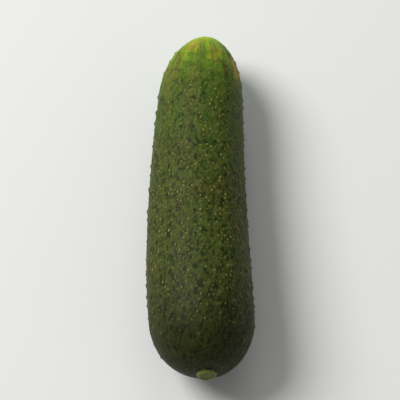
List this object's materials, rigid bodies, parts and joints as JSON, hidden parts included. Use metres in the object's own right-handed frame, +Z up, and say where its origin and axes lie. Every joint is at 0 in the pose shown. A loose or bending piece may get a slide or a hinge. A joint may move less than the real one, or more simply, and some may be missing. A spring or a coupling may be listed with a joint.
{
  "type": "pickling cucumber",
  "caption": "Short, plump cucumber with rough, warty skin, blunt dark stalk end and slimmer yellow-green blossom end, lying on its side.",
  "frame": {"origin": "on the surface that the cucumber lies on, under the middle of its bounding box", "axes": "+Y along the cucumber, towards the blossom end, so the stalk scar faces -Y; +Z up, away from the resting side; the cucumber bows gently towards -X"},
  "size_m": [0.0372, 0.1348, 0.0368],
  "materials": {
    "skin": "satin"
  },
  "bodies": {
    "root": {"cucumber": "skin"}
  },
  "joints": []
}
